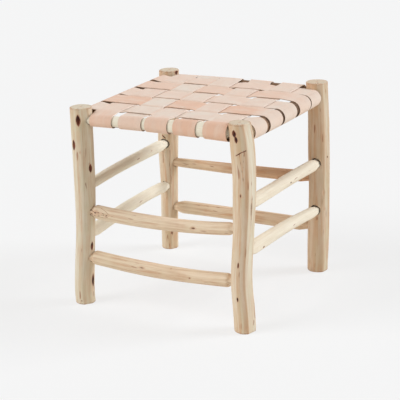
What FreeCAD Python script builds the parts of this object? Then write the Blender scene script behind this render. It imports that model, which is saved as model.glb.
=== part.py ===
import FreeCAD, Part
import math
import os
from FreeCAD import Vector

# A low stool of peeled branches with a woven seat. Four legs, four seat rails and eight stretchers
# meet in round mortise and tenon joints. Leather straps are woven over the rails and tacked beneath.
# The origin is on the floor under the middle of the stool: +X to its right, +Y to its back, +Z up.

# Overall frame, in millimetres
STOOL_HEIGHT = 450.0
LEG_SPACING_X = 388.0
LEG_SPACING_Y = 388.0

# Legs
LEG_RADIUS = 23.0
LEG_EDGE_ROUND = 2.0
LEG_SECTIONS = 19

# Seat rails, measured down from the leg tops to the rail ends
RAIL_RADIUS = 14.0
RAIL_TAPER = 5.0
RAIL_TENON_RADIUS = 10.0
FRONT_RAIL_DROP = 25.5
BACK_RAIL_DROP = 26.0
LEFT_RAIL_DROP = 24.5
RIGHT_RAIL_DROP = 28.8

# Stretchers, measured up from the floor to the middle of each
STRETCHER_RADIUS = 13.5
STRETCHER_TENON_RADIUS = 11.0
FRONT_BACK_LOWER_HEIGHT = 108.5
FRONT_BACK_UPPER_HEIGHT = 221.0
SIDE_LOWER_HEIGHT = 161.0
SIDE_UPPER_HEIGHT = 268.5
BLUNT_TAPER = 6.0
LONG_TAPER = 20.0

# Joints
TENON_DEPTH = 29.0
TENON_CLEARANCE = 0.15
TENON_WALL = 3.0
MORTISE_END_GAP = 0.8
TAPER_STANDOFF = 1.2
POLE_SECTIONS = 9

# Straps and their weave
STRAP_WIDTH = 57.0
STRAP_THICKNESS = 3.0
STRAP_LEAST_GAP = 7.0
STRAP_LEG_GAP = 3.0
WRAP_GAP = 0.3
WEAVE_GAP = 0.3
WEAVE_BEND = 7.0
WEAVE_FLAT_MARGIN = 2.0
SEAT_SAG = 2.0
TAIL_ANGLE = math.radians(60.0)

# Tacks under the rails
TACK_HEAD_RADIUS = 4.5
TACK_HEAD_HEIGHT = 1.4
TACK_SHANK_RADIUS = 1.0
TACK_LENGTH = 13.0
TACK_POINT = 3.0
TACK_INSET = 13.0
TACK_CLEARANCE = 0.15
TACK_SEAT_GAP = 0.3
TACK_ANGLE = math.radians(32.0)

# Where each leg stands in plan
LEG_CORNERS = {
    "front_left": (-1, -1),
    "front_right": (1, -1),
    "back_right": (1, 1),
    "back_left": (-1, 1),
}

# Natural growth of each leg: share of the height, lean in X, lean in Y, swelling of the radius
LEG_GROWTH = {
    "front_left": (
        (0.00, -8.8, 1.0, -1.5),
        (0.07, -10.2, 2.0, -0.9),
        (0.22, -4.6, 1.0, -1.1),
        (0.38, 3.7, -2.0, -1.9),
        (0.58, 9.3, -3.0, 0.0),
        (0.78, 10.0, -1.5, 0.5),
        (1.00, 9.3, 0.0, 0.0),
    ),
    "front_right": (
        (0.00, 0.0, -1.0, -0.6),
        (0.08, -1.8, 0.0, 0.2),
        (0.25, -7.3, 2.0, -0.3),
        (0.45, -2.2, 3.5, -1.0),
        (0.62, 2.2, 3.0, 0.6),
        (0.76, 4.3, 1.5, 1.4),
        (0.90, 1.6, 0.0, 1.9),
        (1.00, -3.9, 0.0, -0.5),
    ),
    "back_right": (
        (0.00, 0.9, 0.0, 0.6),
        (0.16, 3.5, -2.0, 2.0),
        (0.43, 6.4, -4.0, 1.0),
        (0.64, 6.1, -2.5, 1.7),
        (0.85, 4.3, 0.0, 0.9),
        (1.00, 0.3, 0.0, 2.0),
    ),
    "back_left": (
        (0.00, -6.4, -1.0, -3.0),
        (0.19, -5.6, 1.0, -2.0),
        (0.39, -4.4, 3.0, -1.5),
        (0.62, -2.4, 2.0, 1.8),
        (0.85, 6.0, 0.0, 0.8),
        (1.00, 9.0, 0.0, 0.5),
    ),
}

# Natural growth of each rail: rise from its first leg to its second, bow of its middle, swelling of the
# radius beside each leg
RAIL_GROWTH = {
    "front": (6.0, 2.0, -3.4, 3.0),
    "back": (-0.5, 2.0, 0.0, 0.0),
    "left": (1.0, 0.0, 0.0, 0.0),
    "right": (-6.5, -1.8, 3.5, 2.8),
}

# Natural growth of each stretcher: lift, rise, bow, swelling of the radius beside each leg
STRETCHER_GROWTH = {
    "front_lower": (0.0, -3.5, -7.0, 2.4, 1.8),
    "front_upper": (-0.8, 3.5, -8.5, 2.2, 0.2),
    "back_lower": (0.0, 0.0, 1.0, 2.2, 2.0),
    "back_upper": (3.0, 6.0, -2.0, -2.2, 0.6),
    "left_lower": (0.0, 7.0, 6.0, 1.0, 0.4),
    "left_upper": (2.4, -1.0, 3.0, -1.6, -0.2),
    "right_lower": (0.0, -18.0, 3.0, 1.4, -0.4),
    "right_upper": (0.0, -9.0, 1.0, 0.6, 0.4),
}

# The way from each side of the frame to the middle of the seat
SIDE_INWARD = {
    "front": Vector(0, 1, 0),
    "back": Vector(0, -1, 0),
    "left": Vector(1, 0, 0),
    "right": Vector(-1, 0, 0),
}

# The two legs that each side of the frame joins
SIDE_LEGS = {
    "front": ("front_left", "front_right"),
    "back": ("back_left", "back_right"),
    "left": ("front_left", "back_left"),
    "right": ("front_right", "back_right"),
}


def growth_at(stations, share, column):
    """One column of a list of stations, read on a smooth curve at a share of the length."""
    last = len(stations) - 1
    index = 0
    while index < last - 1 and share > stations[index + 1][0]:
        index += 1

    def slope(station):
        before = stations[max(station - 1, 0)]
        after = stations[min(station + 1, last)]
        return (after[column] - before[column]) / (after[0] - before[0])

    start = stations[index]
    end = stations[index + 1]
    span = end[0] - start[0]
    part = (share - start[0]) / span
    step = part * part * (3 - 2 * part)
    lead = span * slope(index) * part * (1 - part) ** 2
    trail = span * slope(index + 1) * part * part * (1 - part)
    return start[column] + (end[column] - start[column]) * step + lead - trail


def leg_axis(leg, height):
    """The middle of a leg at a height above the floor."""
    side_x, side_y = LEG_CORNERS[leg]
    share = height / STOOL_HEIGHT
    lean_x = growth_at(LEG_GROWTH[leg], share, 1)
    lean_y = growth_at(LEG_GROWTH[leg], share, 2)
    return Vector(side_x * LEG_SPACING_X / 2 + lean_x, side_y * LEG_SPACING_Y / 2 + lean_y, height)


def leg_radius(leg, height):
    """The radius of a leg at a height above the floor."""
    return LEG_RADIUS + growth_at(LEG_GROWTH[leg], height / STOOL_HEIGHT, 3)


def circle_wire(centre, direction, radius):
    """A round section of a pole."""
    return Part.Wire([Part.makeCircle(radius, centre, direction)])


class Pole:
    """A round branch between two legs, tapered to a tenon at each end."""

    def __init__(self, legs, middle_height, rise, bow, radii, taper, tenon_radius, tenon_reach):
        heights = (middle_height - rise / 2, middle_height + rise / 2)
        self.legs = legs
        self.bow = bow
        self.radii = radii
        self.taper = taper
        self.tenon_radius = tenon_radius
        self.ends = [leg_axis(leg, height) for leg, height in zip(legs, heights)]
        self.direction = (self.ends[1] - self.ends[0]).normalize()
        self.sockets = [leg_radius(leg, height) for leg, height in zip(legs, heights)]
        self.reaches = [tenon_reach(socket) for socket in self.sockets]
        self.shoulders = [
            self.ends[0] + self.direction * (self.sockets[0] + TAPER_STANDOFF),
            self.ends[1] - self.direction * (self.sockets[1] + TAPER_STANDOFF),
        ]
        self.length = (self.shoulders[1] - self.shoulders[0]).Length

    def centre(self, distance):
        """The middle of the pole at a distance from its first shoulder."""
        share = distance / self.length
        lift = Vector(0, 0, 4 * self.bow * share * (1 - share))
        return self.shoulders[0] + self.direction * distance + lift

    def distance_at(self, axis, value):
        """How far from its first shoulder the pole's X or Y coordinate has a value."""
        return (value - self.shoulders[0][axis]) / self.direction[axis]

    def centre_at(self, axis, value):
        """The middle of the pole where its X or Y coordinate has a value."""
        return self.centre(self.distance_at(axis, value))

    def radius_at(self, axis, value):
        """The radius of the pole, its tapers aside, where its X or Y coordinate has a value."""
        share = (self.distance_at(axis, value) - self.taper) / (self.length - 2 * self.taper)
        return self.radii[0] + (self.radii[1] - self.radii[0]) * share

    def body(self):
        """The branch itself, with its tapers and tenons."""
        span = self.length - 2 * self.taper
        sections = []
        for index in range(POLE_SECTIONS):
            share = index / (POLE_SECTIONS - 1)
            radius = self.radii[0] + (self.radii[1] - self.radii[0]) * share
            centre = self.centre(self.taper + span * share)
            sections.append(circle_wire(centre, self.direction, radius))
        shape = Part.makeLoft(sections, True, False)
        for end, section in ((0, sections[0]), (1, sections[-1])):
            tip = circle_wire(self.shoulders[end], self.direction, self.tenon_radius)
            shape = shape.fuse(Part.makeLoft([tip, section], True, True))
            shape = shape.fuse(self.tenon(end, 0.0, 0.0))
        return shape.removeSplitter()

    def tenon(self, end, extra_radius, extra_length):
        """The tenon of one end, or with extra size the mortise that it enters."""
        inward = self.direction if end else self.direction * -1
        length = self.sockets[end] + TAPER_STANDOFF - self.reaches[end] + extra_length
        radius = self.tenon_radius + extra_radius
        return Part.makeCylinder(radius, length, self.shoulders[end], inward)

    def mortise(self, end):
        """The blind hole in the leg for the tenon of one end."""
        return self.tenon(end, TENON_CLEARANCE, MORTISE_END_GAP)


def deep_reach(socket):
    """How far from the leg's middle a full tenon stops."""
    return socket - TENON_DEPTH


def stub_reach(socket):
    """How far from the leg's middle a side rail stops, clear of the tenon that crosses there."""
    return RAIL_TENON_RADIUS + TENON_CLEARANCE + TENON_WALL


def make_rails():
    """The four seat rails."""
    drops = {
        "front": FRONT_RAIL_DROP,
        "back": BACK_RAIL_DROP,
        "left": LEFT_RAIL_DROP,
        "right": RIGHT_RAIL_DROP,
    }
    rails = {}
    for side, (rise, bow, first_swell, second_swell) in RAIL_GROWTH.items():
        reach = deep_reach if side in ("front", "back") else stub_reach
        height = STOOL_HEIGHT - drops[side]
        radii = (RAIL_RADIUS + first_swell, RAIL_RADIUS + second_swell)
        rails[side] = Pole(SIDE_LEGS[side], height, rise, bow, radii, RAIL_TAPER,
                           RAIL_TENON_RADIUS, reach)
    return rails


def make_stretchers():
    """The eight stretchers, two on each side of the frame."""
    heights = {
        "front_lower": FRONT_BACK_LOWER_HEIGHT,
        "front_upper": FRONT_BACK_UPPER_HEIGHT,
        "back_lower": FRONT_BACK_LOWER_HEIGHT,
        "back_upper": FRONT_BACK_UPPER_HEIGHT,
        "left_lower": SIDE_LOWER_HEIGHT,
        "left_upper": SIDE_UPPER_HEIGHT,
        "right_lower": SIDE_LOWER_HEIGHT,
        "right_upper": SIDE_UPPER_HEIGHT,
    }
    stretchers = {}
    for name, (lift, rise, bow, first_swell, second_swell) in STRETCHER_GROWTH.items():
        side = name.split("_")[0]
        taper = BLUNT_TAPER if side == "front" else LONG_TAPER
        radii = (STRETCHER_RADIUS + first_swell, STRETCHER_RADIUS + second_swell)
        stretchers[name] = Pole(SIDE_LEGS[side], heights[name] + lift, rise, bow, radii, taper,
                                STRETCHER_TENON_RADIUS, deep_reach)
    return stretchers


def make_leg(leg, poles):
    """One leg, with a blind mortise for every pole that it holds."""
    sections = []
    for index in range(LEG_SECTIONS):
        height = STOOL_HEIGHT * index / (LEG_SECTIONS - 1)
        sections.append(circle_wire(leg_axis(leg, height), Vector(0, 0, 1), leg_radius(leg, height)))
    shape = Part.makeLoft(sections, True, False)
    rims = [edge for edge in shape.Edges if edge.BoundBox.ZLength < LEG_EDGE_ROUND / 10]
    shape = shape.makeFillet(LEG_EDGE_ROUND, rims)
    for pole in poles:
        for end in (0, 1):
            if pole.legs[end] == leg:
                shape = shape.cut(pole.mortise(end))
    return shape


def on_circle(centre, radius, angle):
    """A point of a circle in a strap's long section."""
    return (centre[0] + radius * math.cos(angle), centre[1] + radius * math.sin(angle))


def touch_angle(rail, corner, radius, turn):
    """Where the straight run from a corner of the path lies against the top of a rail."""
    across = corner[0] - rail[0]
    above = corner[1] - rail[1]
    return math.atan2(above, across) + turn * math.acos(radius / math.hypot(across, above))


def rounded_path(points):
    """Straight runs through points of the long section, joined by tangent arcs."""
    runs = []
    start = points[0]
    for before, corner, after in zip(points, points[1:], points[2:]):
        heading = math.atan2(corner[1] - before[1], corner[0] - before[0])
        leaving = math.atan2(after[1] - corner[1], after[0] - corner[0])
        turn = leaving - heading
        side = 1 if turn > 0 else -1
        slack = math.tan(abs(turn) / 2)
        radius = min(WEAVE_BEND, WEAVE_FLAT_MARGIN / slack)
        reach = radius * slack
        entry = (corner[0] - reach * math.cos(heading), corner[1] - reach * math.sin(heading))
        middle = on_circle(entry, radius, heading + side * math.pi / 2)
        first = heading - side * math.pi / 2
        runs.append(("line", start, entry))
        runs.append(("arc", middle, radius, first, first + turn))
        start = on_circle(middle, radius, first + turn)
    runs.append(("line", start, points[-1]))
    return runs


def strap_path(rails, crossings):
    """The middle line of a strap: round a rail, over and under the crossings, round the other rail."""
    wraps = [rail[2] + WRAP_GAP + STRAP_THICKNESS / 2 for rail in rails]
    flat = STRAP_WIDTH / 2 + WEAVE_FLAT_MARGIN
    corners = []
    for place, level in crossings:
        corners.append((place - flat, level))
        corners.append((place + flat, level))
    first = touch_angle(rails[0], corners[0], wraps[0], 1)
    last = touch_angle(rails[1], corners[-1], wraps[1], -1)
    points = [on_circle(rails[0], wraps[0], first)] + corners + [on_circle(rails[1], wraps[1], last)]
    path = [
        ("arc", rails[0], wraps[0], 1.5 * math.pi + TAIL_ANGLE, math.pi),
        ("arc", rails[0], wraps[0], math.pi, first),
    ]
    path += rounded_path(points)
    path += [
        ("arc", rails[1], wraps[1], last, 0.0),
        ("arc", rails[1], wraps[1], 0.0, -0.5 * math.pi - TAIL_ANGLE),
    ]
    return path


def shifted(run, offset):
    """A run of the path moved sideways, to the left of its travel."""
    if run[0] == "line":
        _, start, end = run
        length = math.hypot(end[0] - start[0], end[1] - start[1])
        move = ((start[1] - end[1]) / length * offset, (end[0] - start[0]) / length * offset)
        return ("line", (start[0] + move[0], start[1] + move[1]), (end[0] + move[0], end[1] + move[1]))
    _, centre, radius, first, last = run
    return ("arc", centre, radius - offset if last > first else radius + offset, first, last)


def run_points(run):
    """The first, middle and last points of a run."""
    if run[0] == "line":
        _, start, end = run
        return start, ((start[0] + end[0]) / 2, (start[1] + end[1]) / 2), end
    _, centre, radius, first, last = run
    return [on_circle(centre, radius, angle) for angle in (first, (first + last) / 2, last)]


def run_edge(run, place):
    """A run of the path as an edge in space."""
    start, middle, end = [place(point) for point in run_points(run)]
    if run[0] == "line":
        return Part.LineSegment(start, end).toShape()
    return Part.Arc(start, middle, end).toShape()


def strap_outline(path, place):
    """The closed outline of a strap's long section, both faces and both cut ends."""
    outer = [shifted(run, STRAP_THICKNESS / 2) for run in path]
    inner = [shifted(run, -STRAP_THICKNESS / 2) for run in path]
    edges = [run_edge(run, place) for run in outer]
    end = (place(run_points(outer[-1])[2]), place(run_points(inner[-1])[2]))
    start = (place(run_points(inner[0])[0]), place(run_points(outer[0])[0]))
    edges.append(Part.LineSegment(*end).toShape())
    edges += [run_edge(run, place) for run in reversed(inner)]
    edges.append(Part.LineSegment(*start).toShape())
    return Part.Wire(edges)


def make_strap(across, along, centre, rails, crossings):
    """A strap between two rails, ruled between the outlines of its two edges."""
    outlines = []
    for edge in (centre - STRAP_WIDTH / 2, centre + STRAP_WIDTH / 2):
        rail_points = []
        for rail in rails:
            middle = rail.centre_at(across, edge)
            rail_points.append((middle[along], middle.z, rail.radius_at(across, edge)))

        def place(point):
            return Vector(edge, point[0], point[1]) if across == 0 else Vector(point[0], edge, point[1])

        outlines.append(strap_outline(strap_path(rail_points, crossings), place))
    return Part.makeLoft(outlines, True, True)


def strap_places(legs_low, legs_high, height, axis):
    """Where the straps lie between the inner faces of the legs."""
    low = max(leg_axis(leg, height)[axis] + leg_radius(leg, height) for leg in legs_low)
    high = min(leg_axis(leg, height)[axis] - leg_radius(leg, height) for leg in legs_high)
    room = high - low - 2 * STRAP_LEG_GAP
    count = int((room + STRAP_LEAST_GAP) // (STRAP_WIDTH + STRAP_LEAST_GAP))
    pitch = (room - STRAP_WIDTH) / (count - 1)
    return [low + STRAP_LEG_GAP + STRAP_WIDTH / 2 + pitch * index for index in range(count)]


def weave_height(rails):
    """The height of the middle of the weave, a little below the tops of the wrapped rails."""
    tops = [rail.centre(rail.length / 2).z + sum(rail.radii) / 2 for rail in rails.values()]
    return sum(tops) / len(tops) + WRAP_GAP + STRAP_THICKNESS / 2 - SEAT_SAG


def make_tack():
    """One tack, its head seated on the origin's plane and its point upward."""
    rim = Vector(TACK_HEAD_RADIUS, 0, 0)
    dome = Vector(TACK_HEAD_RADIUS * math.sqrt(0.5), 0, -TACK_HEAD_HEIGHT * 0.55)
    crown = Vector(0, 0, -TACK_HEAD_HEIGHT)
    neck = Vector(TACK_SHANK_RADIUS, 0, 0)
    shank = Vector(TACK_SHANK_RADIUS, 0, TACK_LENGTH - TACK_POINT)
    tip = Vector(0, 0, TACK_LENGTH)
    edges = [
        Part.Arc(crown, dome, rim).toShape(),
        Part.LineSegment(rim, neck).toShape(),
        Part.LineSegment(neck, shank).toShape(),
        Part.LineSegment(shank, tip).toShape(),
        Part.LineSegment(tip, crown).toShape(),
    ]
    return Part.Face(Part.Wire(edges)).revolve(Vector(0, 0, 0), Vector(0, 0, 1), 360)


class TackSeat:
    """The place of one tack, under a rail and turned to its inner side. The head lies on the strap."""

    def __init__(self, rail, inward, axis, value):
        step = TACK_HEAD_RADIUS
        tangent = (rail.centre_at(axis, value + step) - rail.centre_at(axis, value - step)).normalize()
        up = Vector(0, 0, 1)
        square_up = (up - tangent * up.dot(tangent)).normalize()
        self.up = square_up * math.cos(TACK_ANGLE) - inward * math.sin(TACK_ANGLE)
        depth = rail.radius_at(axis, value) + WRAP_GAP + STRAP_THICKNESS + TACK_SEAT_GAP
        self.point = rail.centre_at(axis, value) - self.up * depth

    def tack(self, pattern):
        shape = pattern.copy()
        shape.Placement = FreeCAD.Placement(self.point, FreeCAD.Rotation(Vector(0, 0, 1), self.up))
        return shape

    def strap_hole(self):
        length = STRAP_THICKNESS + 2 * TACK_SEAT_GAP
        return Part.makeCylinder(TACK_SHANK_RADIUS + TACK_CLEARANCE, length, self.point, self.up)

    def rail_hole(self):
        length = TACK_LENGTH + MORTISE_END_GAP
        return Part.makeCylinder(TACK_SHANK_RADIUS + TACK_CLEARANCE, length, self.point, self.up)


def tack_places(centre):
    """The two tacks across the width of a strap's end."""
    offset = STRAP_WIDTH / 2 - TACK_INSET
    return [centre - offset, centre + offset]


def build():
    """All the nodes of the stool, by name."""
    nodes = {}
    rails = make_rails()
    stretchers = make_stretchers()
    poles = list(rails.values()) + list(stretchers.values())
    for leg in LEG_CORNERS:
        nodes["leg_" + leg] = make_leg(leg, poles)
    for name, stretcher in stretchers.items():
        nodes["stretcher_" + name] = stretcher.body()

    rail_height = STOOL_HEIGHT - FRONT_RAIL_DROP
    columns = strap_places(("front_left", "back_left"), ("front_right", "back_right"), rail_height, 0)
    rows = strap_places(("front_left", "front_right"), ("back_left", "back_right"), rail_height, 1)
    middle = weave_height(rails)
    half_step = (STRAP_THICKNESS + WEAVE_GAP) / 2
    seats = {side: [] for side in rails}
    for column, x in enumerate(columns):
        levels = [middle + half_step * (-1) ** (column + row) for row in range(len(rows))]
        ends = ("front", "back")
        strap = make_strap(0, 1, x, [rails[side] for side in ends], list(zip(rows, levels)))
        for side in ends:
            for place in tack_places(x):
                seats[side].append(TackSeat(rails[side], SIDE_INWARD[side], 0, place))
                strap = strap.cut(seats[side][-1].strap_hole())
        nodes["strap_lengthwise_%d" % (column + 1)] = strap
    for row, y in enumerate(rows):
        levels = [middle - half_step * (-1) ** (column + row) for column in range(len(columns))]
        ends = ("left", "right")
        strap = make_strap(1, 0, y, [rails[side] for side in ends], list(zip(columns, levels)))
        for side in ends:
            for place in tack_places(y):
                seats[side].append(TackSeat(rails[side], SIDE_INWARD[side], 1, place))
                strap = strap.cut(seats[side][-1].strap_hole())
        nodes["strap_crosswise_%d" % (row + 1)] = strap

    pattern = make_tack()
    for side, rail in rails.items():
        shape = rail.body()
        for seat in seats[side]:
            shape = shape.cut(seat.rail_hole())
        nodes["seat_rail_" + side] = shape
        nodes["tacks_" + side] = Part.makeCompound([seat.tack(pattern) for seat in seats[side]])
    return nodes


os.makedirs("parts", exist_ok=True)
for node, shape in build().items():
    shape.exportStep("parts/%s.step" % node)
    print(node, "valid" if shape.isValid() else "INVALID", len(shape.Solids), round(shape.Volume, 1))
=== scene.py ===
"""Looks of a low stool of peeled branches with a seat of woven leather straps."""

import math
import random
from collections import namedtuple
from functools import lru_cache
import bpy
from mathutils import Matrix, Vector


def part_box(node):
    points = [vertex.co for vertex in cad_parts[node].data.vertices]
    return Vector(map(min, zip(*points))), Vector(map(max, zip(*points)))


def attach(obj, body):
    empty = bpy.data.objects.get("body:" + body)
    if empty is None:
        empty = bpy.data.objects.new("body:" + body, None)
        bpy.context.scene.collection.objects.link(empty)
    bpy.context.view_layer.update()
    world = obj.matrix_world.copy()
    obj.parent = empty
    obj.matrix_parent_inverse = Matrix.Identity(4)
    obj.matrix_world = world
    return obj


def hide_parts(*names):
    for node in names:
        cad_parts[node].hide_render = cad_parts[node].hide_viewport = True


bl_info = {
    "name": "Woven Stool",
    "version": (1, 0, 0),
    "blender": (4, 5, 0),
    "location": "View3D > Sidebar > Stool",
    "description": "Dresses a stool frame with branch wood, woven leather straps, tacks and a stage",
    "category": "Object",
}

import bmesh
import bpy
import numpy as np
from bpy.props import FloatProperty, FloatVectorProperty, IntProperty, PointerProperty
from mathutils import Matrix, Vector
from mathutils.geometry import convex_hull_2d

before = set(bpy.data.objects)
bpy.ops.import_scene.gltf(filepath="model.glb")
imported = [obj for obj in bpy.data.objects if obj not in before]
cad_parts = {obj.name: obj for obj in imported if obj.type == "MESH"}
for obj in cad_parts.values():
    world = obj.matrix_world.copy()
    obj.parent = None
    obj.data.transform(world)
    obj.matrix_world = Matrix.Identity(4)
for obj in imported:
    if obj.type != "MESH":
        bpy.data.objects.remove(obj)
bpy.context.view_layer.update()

MM = 0.001
TURN = 2 * math.pi
BODY = "root"
LEGS = ("front_left", "front_right", "back_right", "back_left")
RAIL = "seat_rail_%s"
STRETCHERS = ("stretcher_%s_upper", "stretcher_%s_lower")
# The axis that the poles of each side run along
SIDE_AXIS = {"front": 0, "back": 0, "left": 1, "right": 1}
# The two axes across a pole that runs along X, Y or Z
ACROSS = {0: (1, 2), 1: (0, 2), 2: (0, 1)}
# The straps of each way: the axis that they run along, the sides of their rails and the way that they cross
WAYS = {
    "lengthwise": (1, ("front", "back"), "crosswise"),
    "crosswise": (0, ("left", "right"), "lengthwise"),
}
# Degrees between two faces above which the edge between them shows
LEG_SHARP = 38
POLE_SHARP = 50
STRAP_SHARP = 60
TACK_SHARP = 35

# Knots, slits and scars of the branches, and one line of painted shade under the front rail: millimetres
# along the pole, degrees round it, length, width and depth in millimetres, and how dark the scar is
SCARS = {
    "leg_front_left": (
        (425, 285, 26, 10, 1.8, 1.0), (370, 249, 24, 9, 1.6, 1.0), (355, 286, 9, 4, 0.6, 0.5),
        (318, 340, 20, 8, 1.4, 0.95), (138, 345, 22, 6, 1.4, 1.0), (55, 357, 32, 8, 1.8, 1.0),
        (9, 279, 5, 3, 0.5, 0.8), (250, 120, 22, 11, 1.6, 0.9), (98, 80, 16, 7, 1.2, 0.8),
        (390, 170, 14, 6, 1.0, 0.8),
    ),
    "leg_front_right": (
        (432, 263, 15, 9, 1.6, 1.0), (420, 270, 15, 7, 1.4, 0.95), (303, 276, 12, 6, 0.7, 0.6),
        (300, 284, 5, 9, 0.5, 0.45), (272, 340, 58, 7, 0.9, 0.55), (151, 274, 15, 4, 1.0, 0.85),
        (76, 268, 13, 4, 1.0, 0.85), (335, 60, 24, 10, 1.7, 0.95), (190, 110, 18, 8, 1.3, 0.85),
        (60, 20, 14, 6, 1.0, 0.8),
    ),
    "leg_back_right": (
        (459, 300, 9, 6, 0.3, 0.8), (197, 321, 17, 8, 1.0, 0.45), (157, 325, 11, 6, 0.7, 0.4),
        (279, 348, 8, 4, 0.7, 0.7), (24, 243, 22, 9, 0.6, 0.35), (355, 30, 22, 10, 1.7, 0.95),
        (120, 95, 24, 9, 1.5, 0.9), (300, 160, 14, 6, 1.0, 0.8),
    ),
    "leg_back_left": (
        (446, 348, 13, 10, 0.8, 0.9), (43, 312, 16, 8, 1.1, 0.65), (340, 100, 24, 11, 1.7, 0.95),
        (150, 150, 20, 8, 1.4, 0.9), (90, 40, 14, 6, 1.0, 0.8),
    ),
    # A long mark with no pit along the rail's underside: a line of painted shade
    "seat_rail_front": ((0, 256, 700, 10, 0.0, 0.8),),
    "stretcher_front_upper": (
        (-142, 146, 24, 14, 0.6, 0.30), (-152, 164, 22, 16, 0.9, 0.52), (-169, 148, 20, 9, 0.7, 0.50),
        (-163, 194, 14, 9, 0.8, 0.48), (-172, 216, 9, 7, 0.7, 0.80), (-126, 172, 18, 6, 0.5, 0.46),
        (83, 176, 16, 9, 1.1, 0.60), (60, 20, 13, 6, 0.9, 0.80),
    ),
    "stretcher_front_lower": (
        (-45, 156, 20, 7, 0.8, 0.55), (23, 118, 7, 4, 0.6, 0.60), (72, 177, 8, 5, 0.7, 0.65),
        (100, 10, 13, 6, 0.9, 0.80),
    ),
    "stretcher_right_upper": ((6, 359, 6, 4, 0.9, 1.0), (-60, 150, 14, 6, 0.9, 0.8)),
    "stretcher_right_lower": ((-120, 336, 11, 6, 0.8, 0.7), (60, 120, 14, 6, 0.9, 0.8)),
    "stretcher_left_upper": ((-30, 200, 12, 6, 0.9, 0.8), (90, 20, 9, 5, 0.6, 0.5)),
    "stretcher_left_lower": ((40, 190, 14, 6, 0.9, 0.85), (-70, 330, 9, 4, 0.6, 0.5)),
    "stretcher_back_upper": ((-60, 30, 14, 6, 0.9, 0.8), (70, 170, 10, 5, 0.6, 0.5)),
    "stretcher_back_lower": ((50, 20, 16, 7, 1.0, 0.85), (-90, 170, 10, 5, 0.6, 0.5)),
}

# Scratches and drying cracks, and one band of painted shade: the places that each runs through, in
# millimetres along the pole and degrees round it, then its width and depth in millimetres and how dark it is
SCRATCHES = {
    "leg_front_right": (
        (((387, 261), (394, 287), (398, 311)), 2.4, 0.4, 0.75),
        (((393, 279), (334, 290)), 2.0, 0.4, 0.60),
        (((392, 300), (358, 291)), 1.8, 0.3, 0.55),
        (((300, 345), (262, 338), (228, 343)), 2.4, 0.3, 0.55),
        (((285, 336), (246, 345), (200, 339)), 2.2, 0.3, 0.50),
        # A wide mark with no groove down the middle of the leg: a band of painted shade
        (((455, 318), (380, 312), (330, 305), (240, 307), (120, 306), (15, 304)), 9.5, 0.0, 0.42),
    ),
    "leg_front_left": (
        (((300, 268), (252, 272), (205, 266)), 2.0, 0.3, 0.42),
        (((232, 318), (176, 322)), 2.0, 0.3, 0.40),
    ),
    "leg_back_left": (
        (((293, 265), (286, 284)), 2.6, 0.6, 0.90),
        (((253, 268), (223, 264)), 4.2, 0.5, 0.58),
        (((256, 309), (206, 304)), 2.2, 0.3, 0.60),
        (((215, 330), (140, 325)), 7.0, 0.2, 0.34),
    ),
    "stretcher_front_upper": (
        (((-168, 150), (-154, 168), (-138, 158), (-120, 172)), 2.2, 0.5, 0.62),
        (((-168, 206), (-150, 188), (-134, 200), (-122, 184), (-134, 172), (-146, 182)), 2.0, 0.5, 0.60),
        (((-142, 118), (-128, 140), (-118, 164), (-104, 172)), 2.0, 0.5, 0.58),
    ),
    "leg_back_right": (
        (((250, 268), (205, 271)), 2.4, 0.3, 0.45),
        (((120, 300), (70, 296)), 2.4, 0.3, 0.45),
    ),
}

# A broad flat along each leg: degrees round it, depth in millimetres, and how much more cream its wood is
# painted, which on the two right legs is painted light on the flat that faces the right lamp
LEG_FLATS = {
    "leg_front_left": (318, 2.0, -0.10),
    "leg_front_right": (343, 2.7, 0.55),
    "leg_back_right": (345, 1.6, 0.28),
    "leg_back_left": (332, 1.4, 0.0),
}

# Mortises that stand open round their tenons: the pole and its end, and the millimetres that each is moved
# sideways and up
OPEN_MORTISES = {
    ("stretcher_right_upper", 1): (0.9, 1.7),
    ("stretcher_right_lower", 1): (1.0, 1.5),
    ("stretcher_left_upper", 1): (1.7, 1.3),
}

# How cream (above 0), brown (below 0) or near black (below -1) the wood of each pole is painted, at places
# spread evenly from its first to its last end. Part is the wood's own colour and part is painted light and
# shade: the near-black stops on the back, left and right rails and the dark back end of the upper back
# stretcher are painted shade, the cream of the left and right stretchers is partly painted light, and the
# legs' values partly paint how much light falls on each leg
BRANCH_TONES_AND_SHADE = {
    "leg_front_left": (0.24, 0.08),
    "leg_front_right": (-0.15, -0.28),
    "leg_back_right": (-0.34, -0.42),
    "leg_back_left": (-0.18, -0.20),
    "seat_rail_front": (1.1, 1.1),
    "seat_rail_back": (-1.8, -1.8),
    "seat_rail_left": (-1.8, -1.8),
    # The right rail is cream by the front right leg and near black further on: painted shade in the gaps
    # between the wraps
    "seat_rail_right": (0.9, 0.9) + 8 * (-1.85,),
    "stretcher_front_upper": (0.2, 0.2),
    "stretcher_front_lower": (0.1, 0.1),
    "stretcher_back_upper": (0.15, -1.0),
    "stretcher_back_lower": (0.15, -0.2),
    "stretcher_left_upper": (0.85, 1.3),
    "stretcher_left_lower": (1.0, 1.1),
    "stretcher_right_upper": (0.8, 0.8),
    "stretcher_right_lower": (0.8, 0.9),
}

# Each kind of branch wood: its base colour, and its shares of honey streaks, olive patches and rosy clouds
WOODS = {
    "leg wood": ("pale", 0.65, 0.5, 0.65),
    "rail wood": ("pale", 0.55, 0.35, 0.4),
    "stretcher wood": ("warm", 0.6, 0.2, 0.9),
}
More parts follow.
